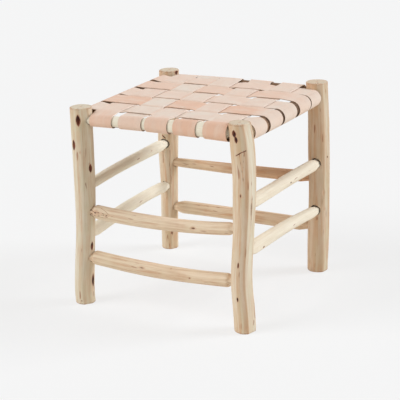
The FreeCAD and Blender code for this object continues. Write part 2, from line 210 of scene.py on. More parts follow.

# Each strap: how cream (above 0) or peach (below 0) its leather is at its first rail, in the seat and at its
# second rail, partly its own colour and partly painted: the peach of the lengthwise straps at the front rail
# is painted shade and the cream of the crosswise straps at the right rail is painted light; then the
# millimetres that it is moved sideways at its first and its second rail, and how much wider it is cut
STRAPS = {
    "strap_lengthwise_1": ((-0.65, 0.05, -0.10), (-0.5, -3.5, -2.0)),
    "strap_lengthwise_2": ((0.00, 0.80, 0.40), (5.0, -14.0, -1.0)),
    "strap_lengthwise_3": ((-0.42, 0.40, 0.10), (1.5, -23.0, -3.5)),
    "strap_lengthwise_4": ((-0.98, 0.15, -0.20), (1.0, -14.0, -4.0)),
    "strap_lengthwise_5": ((-0.98, 0.30, -0.10), (4.0, -2.0, -3.5)),
    "strap_crosswise_1": ((0.30, 0.60, 0.95), (0.0, -0.8, -0.5)),
    "strap_crosswise_2": ((-0.60, -0.85, 0.75), (0.0, 3.8, 4.5)),
    "strap_crosswise_3": ((0.00, 0.10, 1.00), (2.0, 7.0, 5.5)),
    "strap_crosswise_4": ((-0.40, -0.45, 0.55), (4.0, 14.0, 1.5)),
    "strap_crosswise_5": ((-0.20, -0.10, 0.90), (7.0, 4.5, -5.0)),
}

# How dark the cut edges are painted on the seat, for each way, and where the straps go round the rails: the
# dark is painted shade on the crosswise straps' front edges and round the rails, and the lengthwise straps'
# low value turns their edges pale, partly as painted light
EDGE_SHADE = {"lengthwise": 0.3, "crosswise": 1.0}
BENT_EDGE_SHADE = 1.7

# The soft lights: degrees to the right of the front, degrees up, softness in degrees, and colour
LIGHTS = {
    "left": (-48, 37, 34, (0.98, 1.0, 1.02)),
    "right": (122, 30, 26, (0.94, 1.0, 1.07)),
}
AMBIENT_COLOUR = (1.0, 0.955, 0.90, 1.0)

Scar = namedtuple("Scar", "place turn length width depth dark")
Scratch = namedtuple("Scratch", "line width depth dark")


def srgb(*levels):
    """A colour written as a screen shows it, in the linear values that a shader takes."""
    shares = [level / 255 for level in levels]
    return tuple(share / 12.92 if share <= 0.04045 else ((share + 0.055) / 1.055) ** 2.4 for share in shares)


def colour_setting(name, description, *levels):
    """A colour that a user may change."""
    return FloatVectorProperty(name=name, description=description, subtype="COLOR", size=3,
                               min=0.0, max=1.0, default=srgb(*levels))


def length_setting(name, description, value):
    """A length that a user may change, in metres."""
    return FloatProperty(name=name, description=description, unit="LENGTH", min=0.0, default=value)


def angle_setting(name, description, degrees):
    """An angle that a user may change."""
    return FloatProperty(name=name, description=description, subtype="ANGLE", default=math.radians(degrees))


def strength_setting(name, description, value, most):
    """A strength that a user may change."""
    return FloatProperty(name=name, description=description, min=0.0, max=most, default=value)


def count_setting(name, description, least, value):
    """A count that a user may change."""
    return IntProperty(name=name, description=description, min=least, default=value)


class StoolBranchSettings(bpy.types.PropertyGroup):
    """Sizes and colours of the peeled branches."""

    pale: colour_setting("Pale Wood", "Most of the peeled surface", 226, 215, 194)
    warm: colour_setting("Warm Wood", "Most of a stretcher", 237, 214, 187)
    honey: colour_setting("Honey Wood", "Streaks along the grain", 206, 177, 140)
    olive: colour_setting("Olive Wood", "Cool patches left by the inner bark", 207, 197, 163)
    rosy: colour_setting("Rosy Wood", "Warm patches round knots and tapers", 206, 158, 124)
    # Cream Wood is partly painted light, on the left and right stretchers
    cream: colour_setting("Cream Wood", "The palest branches", 244, 238, 220)
    # Brown Wood is partly painted shade, on the back, left and right rails and the upper back stretcher
    brown: colour_setting("Brown Wood", "The darkest branches", 206, 149, 106)
    rust: colour_setting("Rust", "The lighter part of a knot", 146, 78, 48)
    # The bark colour is only reached on the back, left and right seat rails, as painted shade in the deep
    # gaps between the straps
    bark: colour_setting("Bark", "Poles that keep their inner bark", 56, 37, 25)
    # The scar colour is also painted shade on the mortise walls
    scar: colour_setting("Scar", "Knots, slits and traces of bark", 58, 25, 17)
    sawn: colour_setting("Sawn Wood", "The sawn ends of the legs", 218, 207, 187)
    ring_step: length_setting("Ring Step", "Spacing of the mesh along a branch", 1.6 * MM)
    lump: length_setting("Lumps", "How far a branch departs from round", 0.55 * MM)
    rail_lump: length_setting("Rail Lumps", "How far a seat rail stands out under its straps", 0.1 * MM)
    ridge: length_setting("Ridges", "Height of the ridges along the grain", 0.10 * MM)
    peel: length_setting("Peel Flats", "Depth of the flats left by the peeling knife", 0.28 * MM)
    whittle: length_setting("Whittled Flats", "Depth of the flats cut at the tapered ends", 0.75 * MM)
    whittle_length: length_setting("Whittled Length", "How far the flats run from a leg", 40.0 * MM)
    edge_round: length_setting("Sawn Edge", "Rounding of a leg's sawn edge", 2.2 * MM)
    mortise_slack: length_setting("Mortise Slack", "Room between a tenon and its mortise", 0.5 * MM)
    leg_sides: count_setting("Leg Sides", "Points round a leg", 24, 112)
    pole_sides: count_setting("Pole Sides", "Points round a pole", 24, 60)


class StoolStrapSettings(bpy.types.PropertyGroup):
    """Sizes and colours of the leather straps and their tacks."""

    natural: colour_setting("Natural Leather", "The usual grain side", 234, 211, 195)
    cream: colour_setting("Cream Leather", "The palest straps", 232, 220, 207)
    # Peach Leather is partly painted shade, on the front wraps and where straps go round the rails
    peach: colour_setting("Peach Leather", "The warmest straps", 229, 188, 163)
    flesh: colour_setting("Flesh Side", "The rough underside", 206, 176, 150)
    # The raw edge colour is partly the edge's own brown, partly painted shade in the dark lines along the
    # crosswise straps' front edges
    raw_edge: colour_setting("Raw Edge", "The cut edge of a strap", 152, 122, 98)
    # The pale edge colour lightens the lengthwise straps' edges in the weave, partly as painted light
    pale_lit_edge: colour_setting("Pale Edge", "The cut edge that lies in the weave", 250, 236, 224)
    # The dark edge colour round the rails is partly the darker edge, partly painted shade
    dark_shaded_edge: colour_setting("Burnt Edge", "The cut edge where a strap bends", 70, 46, 32)
    blued: colour_setting("Blued Steel", "Most of a tack", 52, 52, 58)
    worn: colour_setting("Worn Steel", "Rubbed patches of a tack", 128, 122, 116)
    crown: length_setting("Crown", "How far a strap arches across its width", 0.35 * MM)
    edge_round: length_setting("Edge Rounding", "Rounding of a strap's cut edge", 0.6 * MM)
    edge_wander: length_setting("Edge Wander", "How far a cut edge strays", 0.55 * MM)
    thickness: length_setting("Thickness", "Thickness of a strap", 1.9 * MM)
    wrap_gap: length_setting("Wrap Gap", "Room between a rail and its strap", 0.3 * MM)
    flat_margin: length_setting("Flat Margin", "How far a crossing stays flat past an edge", 1.6 * MM)
    tail_angle: angle_setting("Tail Angle", "How far a strap's end goes past the rail's foot", 60.0)
    lines: count_setting("Lines", "Long sections across a strap", 2, 9)
    columns: count_setting("Columns", "Points across a strap's face", 6, 18)


class StoolStageSettings(bpy.types.PropertyGroup):
    """The floor, the light and the camera."""

    floor: colour_setting("Floor", "Plain pale floor", 246, 246, 246)
    bounce: colour_setting("Bounce", "The floor as the stool's underside meets it", 248, 245, 238)
    floor_size: length_setting("Floor Size", "Side of the floor", 40.0)
    azimuth: angle_setting("Azimuth", "Camera's turn to the right of the front", 28.28)
    elevation: angle_setting("Elevation", "Camera's height as an angle", 17.98)
    roll: angle_setting("Roll", "Camera's tilt about its view", -1.88)
    distance: length_setting("Distance", "From the camera to the middle of the view", 2.8776)
    target: FloatVectorProperty(name="Target", description="Middle of the view", subtype="TRANSLATION",
                                unit="LENGTH", size=3, default=(-0.0041, -0.0087, 0.2072))
    lens: FloatProperty(name="Lens", description="Focal length of the camera, in millimetres", min=1.0,
                        default=115.6)
    sensor: FloatProperty(name="Sensor", description="Width of the camera's sensor, in millimetres", min=1.0,
                          default=36.0)
    view_end: length_setting("View End", "How far the camera sees", 100.0)
    ambient: strength_setting("Ambient", "Strength of the even light", 0.35, 10.0)
    left_light: strength_setting("Left Light", "Strength of the light from the left", 1.68, 10.0)
    right_light: strength_setting("Right Light", "Strength of the light from the right", 2.0, 10.0)
    shadow: strength_setting("Shadow", "How much of the shadow the floor shows", 0.24, 1.0)


def mesh_points(mesh):
    """The points of a mesh as an array."""
    points = np.empty(len(mesh.vertices) * 3)
    mesh.vertices.foreach_get("co", points)
    return points.reshape(-1, 3)


def node_arrays(node):
    """The points and edges of a node of the frame."""
    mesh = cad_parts[node].data
    edges = np.empty(len(mesh.edges) * 2, dtype=np.int32)
    mesh.edges.foreach_get("vertices", edges)
    return mesh_points(mesh), edges.reshape(-1, 2)


def cut_points(points, edges, axis, value):
    """Where the edges of a node cross a plane."""
    start = points[edges[:, 0]]
    end = points[edges[:, 1]]
    before = start[:, axis] - value
    after = end[:, axis] - value
    crossing = before * after < 0
    share = before[crossing] / (before[crossing] - after[crossing])
    return start[crossing] + share[:, None] * (end[crossing] - start[crossing])


def fit_circle(flat_points):
    """The middle and radius of a round section, read from its outer points only."""
    hull = flat_points[convex_hull_2d([tuple(point) for point in flat_points])]
    terms = np.column_stack([2 * hull, np.ones(len(hull))])
    across, upward, rest = np.linalg.lstsq(terms, (hull ** 2).sum(axis=1), rcond=None)[0]
    return across, upward, math.sqrt(rest + across ** 2 + upward ** 2)


def smooth_step(share):
    """An eased share between 0 and 1."""
    share = np.clip(share, 0.0, 1.0)
    return share * share * (3 - 2 * share)


def turned_from(angle, start):
    """How far angles are turned from a start, from half a turn back to half a turn on."""
    return np.mod(angle - start + math.pi, TURN) - math.pi


def round_angles(count):
    """Angles spread evenly round a full turn."""
    return np.linspace(0, TURN, count, endpoint=False)


@lru_cache(maxsize=None)
def branch_of(node, axis):
    """The reading of one pole, taken once."""
    return Branch(node, axis)


class Branch:
    """The middle line, radius and natural relief of one pole, read from its node."""

    # How many sections of the node are read, and how far from its ends the first and last of them lie
    STATIONS = 140
    END_INSET = 3.0 * MM
    # How far along a rail, and at how many places, its radius counts for a strap that lies there
    STRAP_REACH = 8.0 * MM
    STRAP_PLACES = 5
    # Lumps and ridges: waves round the pole, and the radians that they turn in a metre along it
    LUMP_ORDERS = (2, 2, 3, 3, 4, 5)
    LUMP_PACE = (4, 26)
    RIDGES = 7
    RIDGE_ORDERS = (11, 27)
    RIDGE_PACE = (-9, 9)
    # Each wave's part of the whole height
    WAVE_SHARE = 1 / 3
    # Knife flats: how many round a pole, and the radians that each kind turns in a metre along it
    FLATS = 7
    PEEL_TWIST = 2.5
    WHITTLE_TWIST = 1.5
    # Where peeling fades toward the ends, and the share of the whittled length that is cut in full
    PEEL_FADE = 40.0 * MM
    WHITTLE_FULL = 0.35
    # The angle past which a broad flat is no longer followed
    FLAT_SWING = 1.2
    # A scar's pit and the lip round it, as shares of the scar's outline and depth
    PIT_SLOPE = 1.4
    LIP_PLACE = 1.3
    LIP_WIDTH = 0.45
    LIP_HEIGHT = 0.28
    # Where the groove of a scratch runs out, counted in its outlines
    SCRATCH_REACH = 1.5

    def __init__(self, node, axis):
        self.node = node
        self.axis = axis
        self.across = ACROSS[axis]
        self.low, self.high = (corner[axis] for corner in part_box(node))
        points, edges = node_arrays(node)
        self.stations = np.linspace(self.low + self.END_INSET, self.high - self.END_INSET, self.STATIONS)
        sections = [cut_points(points, edges, axis, station)[:, self.across] for station in self.stations]
        self.fits = np.array([fit_circle(section) for section in sections])
        draw = random.Random(node)
        self.lumps = [
            (order, draw.uniform(*self.LUMP_PACE), draw.uniform(0, TURN)) for order in self.LUMP_ORDERS]
        self.ridges = [
            (draw.randint(*self.RIDGE_ORDERS), draw.uniform(*self.RIDGE_PACE), draw.uniform(0, TURN))
            for _ in range(self.RIDGES)]
        self.flat_turn, self.flat_depth, self.flat_light_and_tone = LEG_FLATS.get(node, (0.0, 0.0, 0.0))
        self.scars = [Scar(place * MM, math.radians(turn), length * MM, width * MM, depth * MM, dark)
                      for place, turn, length, width, depth, dark in SCARS.get(node, ())]
        self.scratches = [
            Scratch([(place * MM, math.radians(turn)) for place, turn in line], width * MM, depth * MM, dark)
            for line, width, depth, dark in SCRATCHES.get(node, ())]

    def centre(self, along):
        """The middle of the pole, in its two cross axes."""
        return tuple(np.interp(along, self.stations, self.fits[:, part]) for part in (0, 1))

    def radius(self, along):
        """The plain radius of the pole."""
        return np.interp(along, self.stations, self.fits[:, 2])

    def widest(self, along):
        """The largest radius close to a place, on which a strap lies."""
        reach = np.linspace(-self.STRAP_REACH, self.STRAP_REACH, self.STRAP_PLACES)
        return self.radius(along + reach).max()

    def from_end(self, along):
        """How far places are from the nearer end of the pole."""
        return np.minimum(along - self.low, self.high - along)

    def polar(self, points):
        """Place along, angle round and distance from the middle, for points in space."""
        along = points[:, self.axis]
        across, upward = (points[:, axis] - middle for axis, middle in zip(self.across, self.centre(along)))
        return along, np.arctan2(upward, across), np.hypot(across, upward)

    def scar_distance(self, scar, along, angle):
        """How far points lie from a scar, where 1 is its outline, and their signed side of it."""
        sideways = turned_from(angle, scar.turn) * self.radius(along) / (scar.width / 2)
        return np.abs(sideways) + ((along - scar.place) / (scar.length / 2)) ** 2, sideways

    def scratch_distance(self, scratch, along, angle):
        """How far points lie from the middle of a scratch, where 1 is its outline."""
        radius = self.radius(along)
        nearest = np.full(np.broadcast(along, angle).shape, np.inf)
        for (place, turn), (next_place, next_turn) in zip(scratch.line, scratch.line[1:]):
            onward = along - place
            sideways = turned_from(angle, turn) * radius
            run = next_place - place
            swing = (next_turn - turn) * radius
            share = np.clip((onward * run + sideways * swing) / (run ** 2 + swing ** 2), 0, 1)
            nearest = np.minimum(nearest, np.hypot(onward - share * run, sideways - share * swing))
        return nearest / (scratch.width / 2)

    def flats(self, along, angle, twist):
        """Knife flats round the pole: 0 at their corners and 1 at their middles."""
        turn = np.mod(angle + twist * along, TURN / self.FLATS) * self.FLATS / TURN
        return 1 - (2 * turn - 1) ** 2

    def hewn(self, along, angle):
        """How far the broad flat lies below the plain radius, as a height below 0."""
        swing = np.abs(turned_from(angle, math.radians(self.flat_turn)))
        chord = (self.radius(along) - self.flat_depth * MM) / np.cos(np.minimum(swing, self.FLAT_SWING))
        return np.minimum(chord - self.radius(along), 0.0)

    def relief(self, along, angle, settings, whittled):
        """How far the surface stands off the plain radius."""
        height = np.zeros(np.broadcast(along, angle).shape)
        for waves, size in ((self.lumps, settings.lump), (self.ridges, settings.ridge)):
            for order, pace, phase in waves:
                height += size * self.WAVE_SHARE * np.sin(order * angle + pace * along + phase)
        from_end = self.from_end(along)
        peeled = smooth_step(from_end / self.PEEL_FADE)
        height -= settings.peel * peeled * self.flats(along, angle, self.PEEL_TWIST)
        if whittled:
            share = 1 - smooth_step(from_end / settings.whittle_length - self.WHITTLE_FULL)
            height -= settings.whittle * share * self.flats(along, angle, self.WHITTLE_TWIST)
        height += self.hewn(along, angle)
        for scar in self.scars:
            distance, _ = self.scar_distance(scar, along, angle)
            pit = smooth_step(self.PIT_SLOPE * (1 - distance))
            lip = np.exp(-((distance - self.LIP_PLACE) / self.LIP_WIDTH) ** 2)
            height += scar.depth * (self.LIP_HEIGHT * lip - pit)
        for scratch in self.scratches:
            distance = self.scratch_distance(scratch, along, angle)
            height -= scratch.depth * smooth_step(self.SCRATCH_REACH - distance)
        return height


def tube(pole, rings, middles, radii, angles):
    """Points of a tube along a pole's axis: one ring of points for each place along its middle line."""
    points = np.empty((len(rings), len(angles), 3))
    points[..., pole.axis] = rings[:, None]
    for axis, middle, swing in zip(pole.across, middles, (np.cos(angles), np.sin(angles))):
        points[..., axis] = middle[:, None] + radii * swing
    return points


def tube_faces(rings, sides):
    """Four-sided faces between the rings of a tube, and a face over each end."""
    start = np.arange(rings - 1)[:, None] * sides
    side = np.arange(sides)[None, :]
    after = (side + 1) % sides
    faces = np.stack([start + side, start + after, start + sides + after, start + sides + side], axis=-1)
    ends = [list(range(sides - 1, -1, -1)), list(range((rings - 1) * sides, rings * sides))]
    return faces.reshape(-1, 4).tolist() + ends


def mesh_from(name, points, faces):
    """A mesh with its faces turned outward."""
    mesh = bpy.data.meshes.new(name)
    mesh.from_pydata(points.reshape(-1, 3).tolist(), [], faces)
    editable = bmesh.new()
    editable.from_mesh(mesh)
    bmesh.ops.recalc_face_normals(editable, faces=editable.faces)
    editable.to_mesh(mesh)
    editable.free()
    return mesh


def tube_mesh(name, points):
    """The mesh of a closed tube, from its rings of points."""
    return mesh_from(name, points, tube_faces(*points.shape[:2]))


def linked(name, data):
    """A new object in the scene."""
    piece = bpy.data.objects.new(name, data)
    bpy.context.scene.collection.objects.link(piece)
    return piece


def set_values(mesh, **layers):
    """Named values or vectors for each point of a mesh, for its material."""
    for name, values in layers.items():
        kind, key = ("FLOAT", "value") if values.ndim == 1 else ("FLOAT_VECTOR", "vector")
        layer = mesh.attributes.new(name, kind, "POINT")
        layer.data.foreach_set(key, np.ascontiguousarray(values, dtype=np.float32).ravel())


def place_piece(piece, node, material, sharp_degrees):
    """Puts a finished piece in its node's place."""
    mesh = piece.data
    mesh.materials.clear()
    mesh.materials.append(material)
    mesh.polygons.foreach_set("use_smooth", [True] * len(mesh.polygons))
    mesh.set_sharp_from_angle(angle=math.radians(sharp_degrees))
    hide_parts(node)
    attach(piece, BODY)


# How far below the plain surface the wall of a mortise or a sawn end begins, and how fast its mask fills;
# the mortise wall's mask paints shade
WALL_DEPTH = 1.5 * MM
WALL_FADE = 0.8 * MM
# How far a sawn end reaches along a pole, and the broken rust line round its edge along and inward
END_REACH = 2.6 * MM
RIM_REACH = 3.0 * MM
RIM_WIDTH = 1.6 * MM
# How many outlines out a mark's mask fades, how far the grain bends round a knot, and a flat's soft edge
MARK_REACH = 2.0
GRAIN_BEND = 0.35
FLAT_FADE = 0.5 * MM


def dress_branch(piece, branch, material, sharp_degrees):
    """Gives a branch the grain, scars, sawn ends and mortise walls that its wood reads, paints shade in the
    mortises and light and shade along it, and places it.
    """
    along, angle, distance = branch.polar(mesh_points(piece.data))
    plain = branch.radius(along)
    hewn = branch.hewn(along, angle)
    from_end = branch.from_end(along)
    inside = np.clip((plain + hewn - distance - WALL_DEPTH) / WALL_FADE, 0, 1)
    at_end = from_end < END_REACH
    beyond = np.where(at_end, np.maximum(plain - distance, 0.0), 0.0)
    unrolled = along + beyond * np.where(along > (branch.low + branch.high) / 2, 1.0, -1.0)
    marks = np.zeros(len(along))
    bent = angle.copy()
    for scar in branch.scars:
        gap, sideways = branch.scar_distance(scar, unrolled, angle)
        marks = np.maximum(marks, scar.dark * np.clip(1 - gap / MARK_REACH, 0, 1))
        bent -= GRAIN_BEND * scar.width / plain * np.tanh(sideways) * np.exp(-0.5 * gap ** 2)
    for scratch in branch.scratches:
        gap = branch.scratch_distance(scratch, unrolled, angle)
        marks = np.maximum(marks, scratch.dark * np.clip(1 - gap / MARK_REACH, 0, 1))
    # Values along the pole: partly the wood's own colour, partly painted light and painted shade
    tones = BRANCH_TONES_AND_SHADE[branch.node]
    tone = np.interp(along, np.linspace(branch.low, branch.high, len(tones)), tones)
    set_values(
        piece.data,
        grain=np.column_stack([distance * np.cos(bent), distance * np.sin(bent), along]),
        scar=marks,
        sawn=np.where(at_end, inside, 0.0),
        hollow=np.where(at_end, 0.0, inside),
        # The broad flat is painted paler on the right legs: painted light
        tone=tone + branch.flat_light_and_tone * smooth_step(-hewn / FLAT_FADE),
        rim=np.exp(-((plain - distance) / RIM_WIDTH) ** 2) * (from_end < RIM_REACH))
    place_piece(piece, branch.node, material, sharp_degrees)


# Angles of the rings round a leg's sawn edge, and the sizes of the rings that close its ends
EDGE_TURNS = np.radians([18, 38, 60, 80])
CAP_SHARES = np.array([0.82, 0.6, 0.38, 0.16])


def cap_rings(outline, axis, end):
    """Rings that close a sawn end, each smaller than the last."""
    middle = outline.mean(axis=0)
    rings = middle + (outline - middle) * CAP_SHARES[:, None, None]
    rings[..., axis] = end
    return rings


def build_leg(branch, settings):
    """The mesh of a leg without its mortises: a lumpy tube with rounded, sawn ends."""
    edge = settings.edge_round
    count = int((branch.high - branch.low - 2 * edge) / settings.ring_step)
    inset = edge * (1 - np.cos(EDGE_TURNS))
    lift = edge * (1 - np.sin(EDGE_TURNS))
    body = np.linspace(branch.low + edge, branch.high - edge, count)
    rings = np.concatenate([branch.low + lift[::-1], body, branch.high - lift])
    insets = np.concatenate([inset[::-1], np.zeros(count), inset])
    angles = round_angles(settings.leg_sides)
    along = rings[:, None]
    radii = branch.radius(along) + branch.relief(along, angles[None, :], settings, False) - insets[:, None]
    sleeve = tube(branch, rings, branch.centre(rings), radii, angles)
    foot = cap_rings(sleeve[0], branch.axis, branch.low)
    top = cap_rings(sleeve[-1], branch.axis, branch.high)
    return tube_mesh(branch.node, np.concatenate([foot[::-1], sleeve, top]))


# Places along a mortise's cutter, from outside the leg to past the tip of the tenon, closest together where
# it meets the leg's surface
CUTTER_PLACES = np.concatenate([[45.0], np.arange(34.0, 20.0, -1.0), [-0.8]]) * MM
CUTTER_SIDES = 40
# Where a tenon's radius is read, and the two places that give its direction, all from its tip
TENON_RADIUS_PLACE = 8 * MM
TENON_LINE = (10 * MM, 26 * MM)


def mortise_cutter(pole, end, settings):
    """Rings of a closed tube that cuts one mortise, a little larger than the tenon that it takes."""
    tip = pole.high if end else pole.low
    inward = 1 if end else -1
    shifts = [shift * MM for shift in OPEN_MORTISES.get((pole.node, end), (0.0, 0.0))]
    rings = tip - inward * CUTTER_PLACES
    near, far = (tip - inward * place for place in TENON_LINE)
    middles = []
    for start, further, shift in zip(pole.centre(near), pole.centre(far), shifts):
        middles.append(start + (start - further) / (near - far) * (rings - near) + shift)
    radius = pole.radius(tip - inward * TENON_RADIUS_PLACE) + settings.mortise_slack + max(shifts) / 2
    return tube(pole, rings, middles, radius, round_angles(CUTTER_SIDES))


def cut_mortises(piece, cutters):
    """Cuts all the mortises of a leg into its mesh."""
    faces = []
    for index, rings in enumerate(cutters):
        start = index * rings.shape[0] * rings.shape[1]
        faces += [[start + corner for corner in face] for face in tube_faces(*rings.shape[:2])]
    name = piece.name + ".cutter"
    cutter = linked(name, mesh_from(name, np.concatenate(cutters), faces))
    change = piece.modifiers.new("mortises", "BOOLEAN")
    change.operation = "DIFFERENCE"
    change.solver = "MANIFOLD"
    change.object = cutter
    evaluated = piece.evaluated_get(bpy.context.evaluated_depsgraph_get())
    mesh = bpy.data.meshes.new_from_object(evaluated)
    piece.modifiers.remove(change)
    used = (piece.data, cutter.data)
    piece.data = mesh
    mesh.name = piece.name
    bpy.data.objects.remove(cutter)
    for old in used:
        bpy.data.meshes.remove(old)


def build_pole(branch, settings, proud):
    """The mesh of a rail or stretcher: a lumpy tube with flats whittled at its ends."""
    rings = np.linspace(branch.low, branch.high, int((branch.high - branch.low) / settings.ring_step))
    angles = round_angles(settings.pole_sides)
    along = rings[:, None]
    radii = branch.radius(along)
    radii[1:-1] = (radii[:-2] + radii[1:-1] + radii[2:]) / 3
    relief = np.minimum(branch.relief(along, angles[None, :], settings, True), proud)
    return tube_mesh(branch.node, tube(branch, rings, branch.centre(rings), radii + relief, angles))


class StrapLay:
    """Where a strap lies across its rails, a little askew as it was pulled through."""

    # How far the rails lie from the middle of the stool
    RAIL_REACH = 196.0 * MM

    def __init__(self, node, across):
        low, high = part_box(node)
        self.tones, (first, second, wider) = STRAPS[node]
        self.middle = (low[across] + high[across]) / 2
        self.width = high[across] - low[across] + wider * MM
        self.shifts = (first * MM, second * MM)

    def centre(self, along):
        """The middle of the strap at a place along it."""
        return self.middle + np.interp(along, (-self.RAIL_REACH, self.RAIL_REACH), self.shifts)


def weave_levels(node, along, places, thickness):
    """The height of the middle of a strap at each strap that it crosses."""
    points, edges = node_arrays(node)
    levels = []
    for place in places:
        heights = cut_points(points, edges, along, place)[:, 2]
        levels.append((heights.min() + heights.max()) / 2)
    spare = (heights.max() - heights.min() - thickness) / 2
    middle = sum(levels) / len(levels)
    return [level - math.copysign(spare, level - middle) for level in levels]


def touch_angle(rail, corner, radius, side):
    """Where a straight run from a corner of the path lies against the top of a rail."""
    across = corner[0] - rail[0]
    above = corner[1] - rail[1]
    return math.atan2(above, across) + side * math.acos(radius / math.hypot(across, above))


def arc_points(rail, radius, angles):
    """Points round a rail."""
    return np.column_stack([rail[0] + radius * np.cos(angles), rail[1] + radius * np.sin(angles)])


def eased_run(start, slope_start, end, slope_end, count):
    """A smooth run between two points with given slopes, without the last one."""
    share = np.linspace(0, 1, count, endpoint=False)
    span = end[0] - start[0]
    height = (start[1] * (2 * share ** 3 - 3 * share ** 2 + 1)
              + end[1] * (3 * share ** 2 - 2 * share ** 3)
              + span * slope_start * (share ** 3 - 2 * share ** 2 + share)
              + span * slope_end * (share ** 3 - share ** 2))
    return np.column_stack([start[0] + span * share, height])


# Points along a strap: round a rail, from a rail to the weave, over a crossing and between two crossings
WRAP_POINTS = 44
SLOPE_POINTS = 10
CROSSING_POINTS = 16
STEP_POINTS = 9
# Points from a strap's end between which the painted shade of its bent edge, and its colour with the painted
# light and shade at the rail, give way
EDGE_CHANGE = (27, WRAP_POINTS)
TONE_CHANGE = (36, 56)
# The angle of a rail's foot
UNDER = -math.pi / 2
# Angles of the points on a strap's rounded corner, and the flat share of its cut edge
CORNER_TURNS = np.radians([22, 45, 68])
EDGE_FLAT = 0.35
# Waves along a cut edge in radians a metre, the radius of curvature at which the painted shade on a bent
# strap shows in full, and the most that a strap's grain is shifted in metres
WANDER_PACES = (21.0, 47.0, 93.0)
BEND_REACH = 15 * MM
GRAIN_SHIFT = 3


def strap_path(rails, crossings, settings):
    """The middle line of a strap in its long section, and how far each point lies over or under."""
    wraps = [rail[2] + settings.wrap_gap + settings.thickness / 2 for rail in rails]
    corners = []
    for low, high, level in crossings:
        corners += [(low - settings.flat_margin, level), (high + settings.flat_margin, level)]
    middle = sum(level for _, _, level in crossings) / len(crossings)
    lays = [np.sign(level - middle) for _, level in corners]
    first = touch_angle(rails[0], corners[0], wraps[0], 1)
    last = touch_angle(rails[1], corners[-1], wraps[1], -1)
    head = np.linspace(UNDER + TURN + settings.tail_angle, first, WRAP_POINTS, endpoint=False)
    tail = np.linspace(last, UNDER - settings.tail_angle, WRAP_POINTS + 1, endpoint=False)
    leave = arc_points(rails[0], wraps[0], first)[0]
    meet = arc_points(rails[1], wraps[1], last)[0]
    rise = smooth_step(np.linspace(0, 1, SLOPE_POINTS))
    runs = [arc_points(rails[0], wraps[0], head),
            eased_run(leave, -1 / math.tan(first), corners[0], 0.0, SLOPE_POINTS)]
    lifts = [np.zeros(len(head)), lays[0] * rise]
    for index, (start, end) in enumerate(zip(corners, corners[1:])):
        count = CROSSING_POINTS if index % 2 == 0 else STEP_POINTS
        runs.append(eased_run(start, 0.0, end, 0.0, count))
        ease = smooth_step(np.linspace(0, 1, count, endpoint=False))
        lifts.append(lays[index] + (lays[index + 1] - lays[index]) * ease)
    runs += [eased_run(corners[-1], 0.0, meet, -1 / math.tan(last), SLOPE_POINTS),
             arc_points(rails[1], wraps[1], tail)]
    lifts += [lays[-1] * (1 - rise), np.zeros(len(tail))]
    return np.concatenate(runs), np.concatenate(lifts)


def strap_section(width, settings):
    """Points round a strap's cross section: place across, height, and how far on the edge and flesh side."""
    bevel = settings.edge_round
    half = width / 2
    low = settings.thickness / 2
    face = np.linspace(-half + bevel, half - bevel, settings.columns)
    corner = np.column_stack([half - bevel + bevel * np.sin(CORNER_TURNS),
                              low - bevel + bevel * np.cos(CORNER_TURNS)])
    side = [(across, height, 0.5, 0.0) for across, height in corner]
    side += [(half, height, 1.0, 0.5) for height in (EDGE_FLAT * low, -EDGE_FLAT * low)]
    side += [(across, -height, 0.5, 0.5) for across, height in corner[::-1]]
    rows = [(across, low, 0.0, 0.0) for across in face] + side
    rows += [(across, -low, 0.0, 1.0) for across in face[::-1]]
    rows += [(-across, *rest) for across, *rest in reversed(side)]
    return np.array(rows)


def strap_lines(lay, others, levels, rails, settings):
    """The paths of a strap's long sections, side by side, and how far each point lies over or under."""
    paths = []
    for offset in np.linspace(-lay.width / 2, lay.width / 2, settings.lines):
        ends = []
        for rail, reach in zip(rails, (-lay.RAIL_REACH, lay.RAIL_REACH)):
            place = lay.centre(reach) + offset
            ends.append((*rail.centre(place), rail.widest(place)))
        crossings = []
        for other, level in zip(others, levels):
            middle = other.centre(lay.centre(other.middle) + offset)
            crossings.append((middle - other.width / 2, middle + other.width / 2, level))
        path, lift = strap_path(ends, crossings, settings)
        paths.append(path)
    return np.stack(paths, axis=1), lift


def along_strap(travel, change, values):
    """Values along a strap, at its first rail, in the seat and at its second rail, that give way evenly."""
    start, end = change
    first, middle, second = values
    stops = (travel[start], travel[end], travel[-end - 1], travel[-start - 1])
    return np.interp(travel, stops, (first, middle, middle, second))


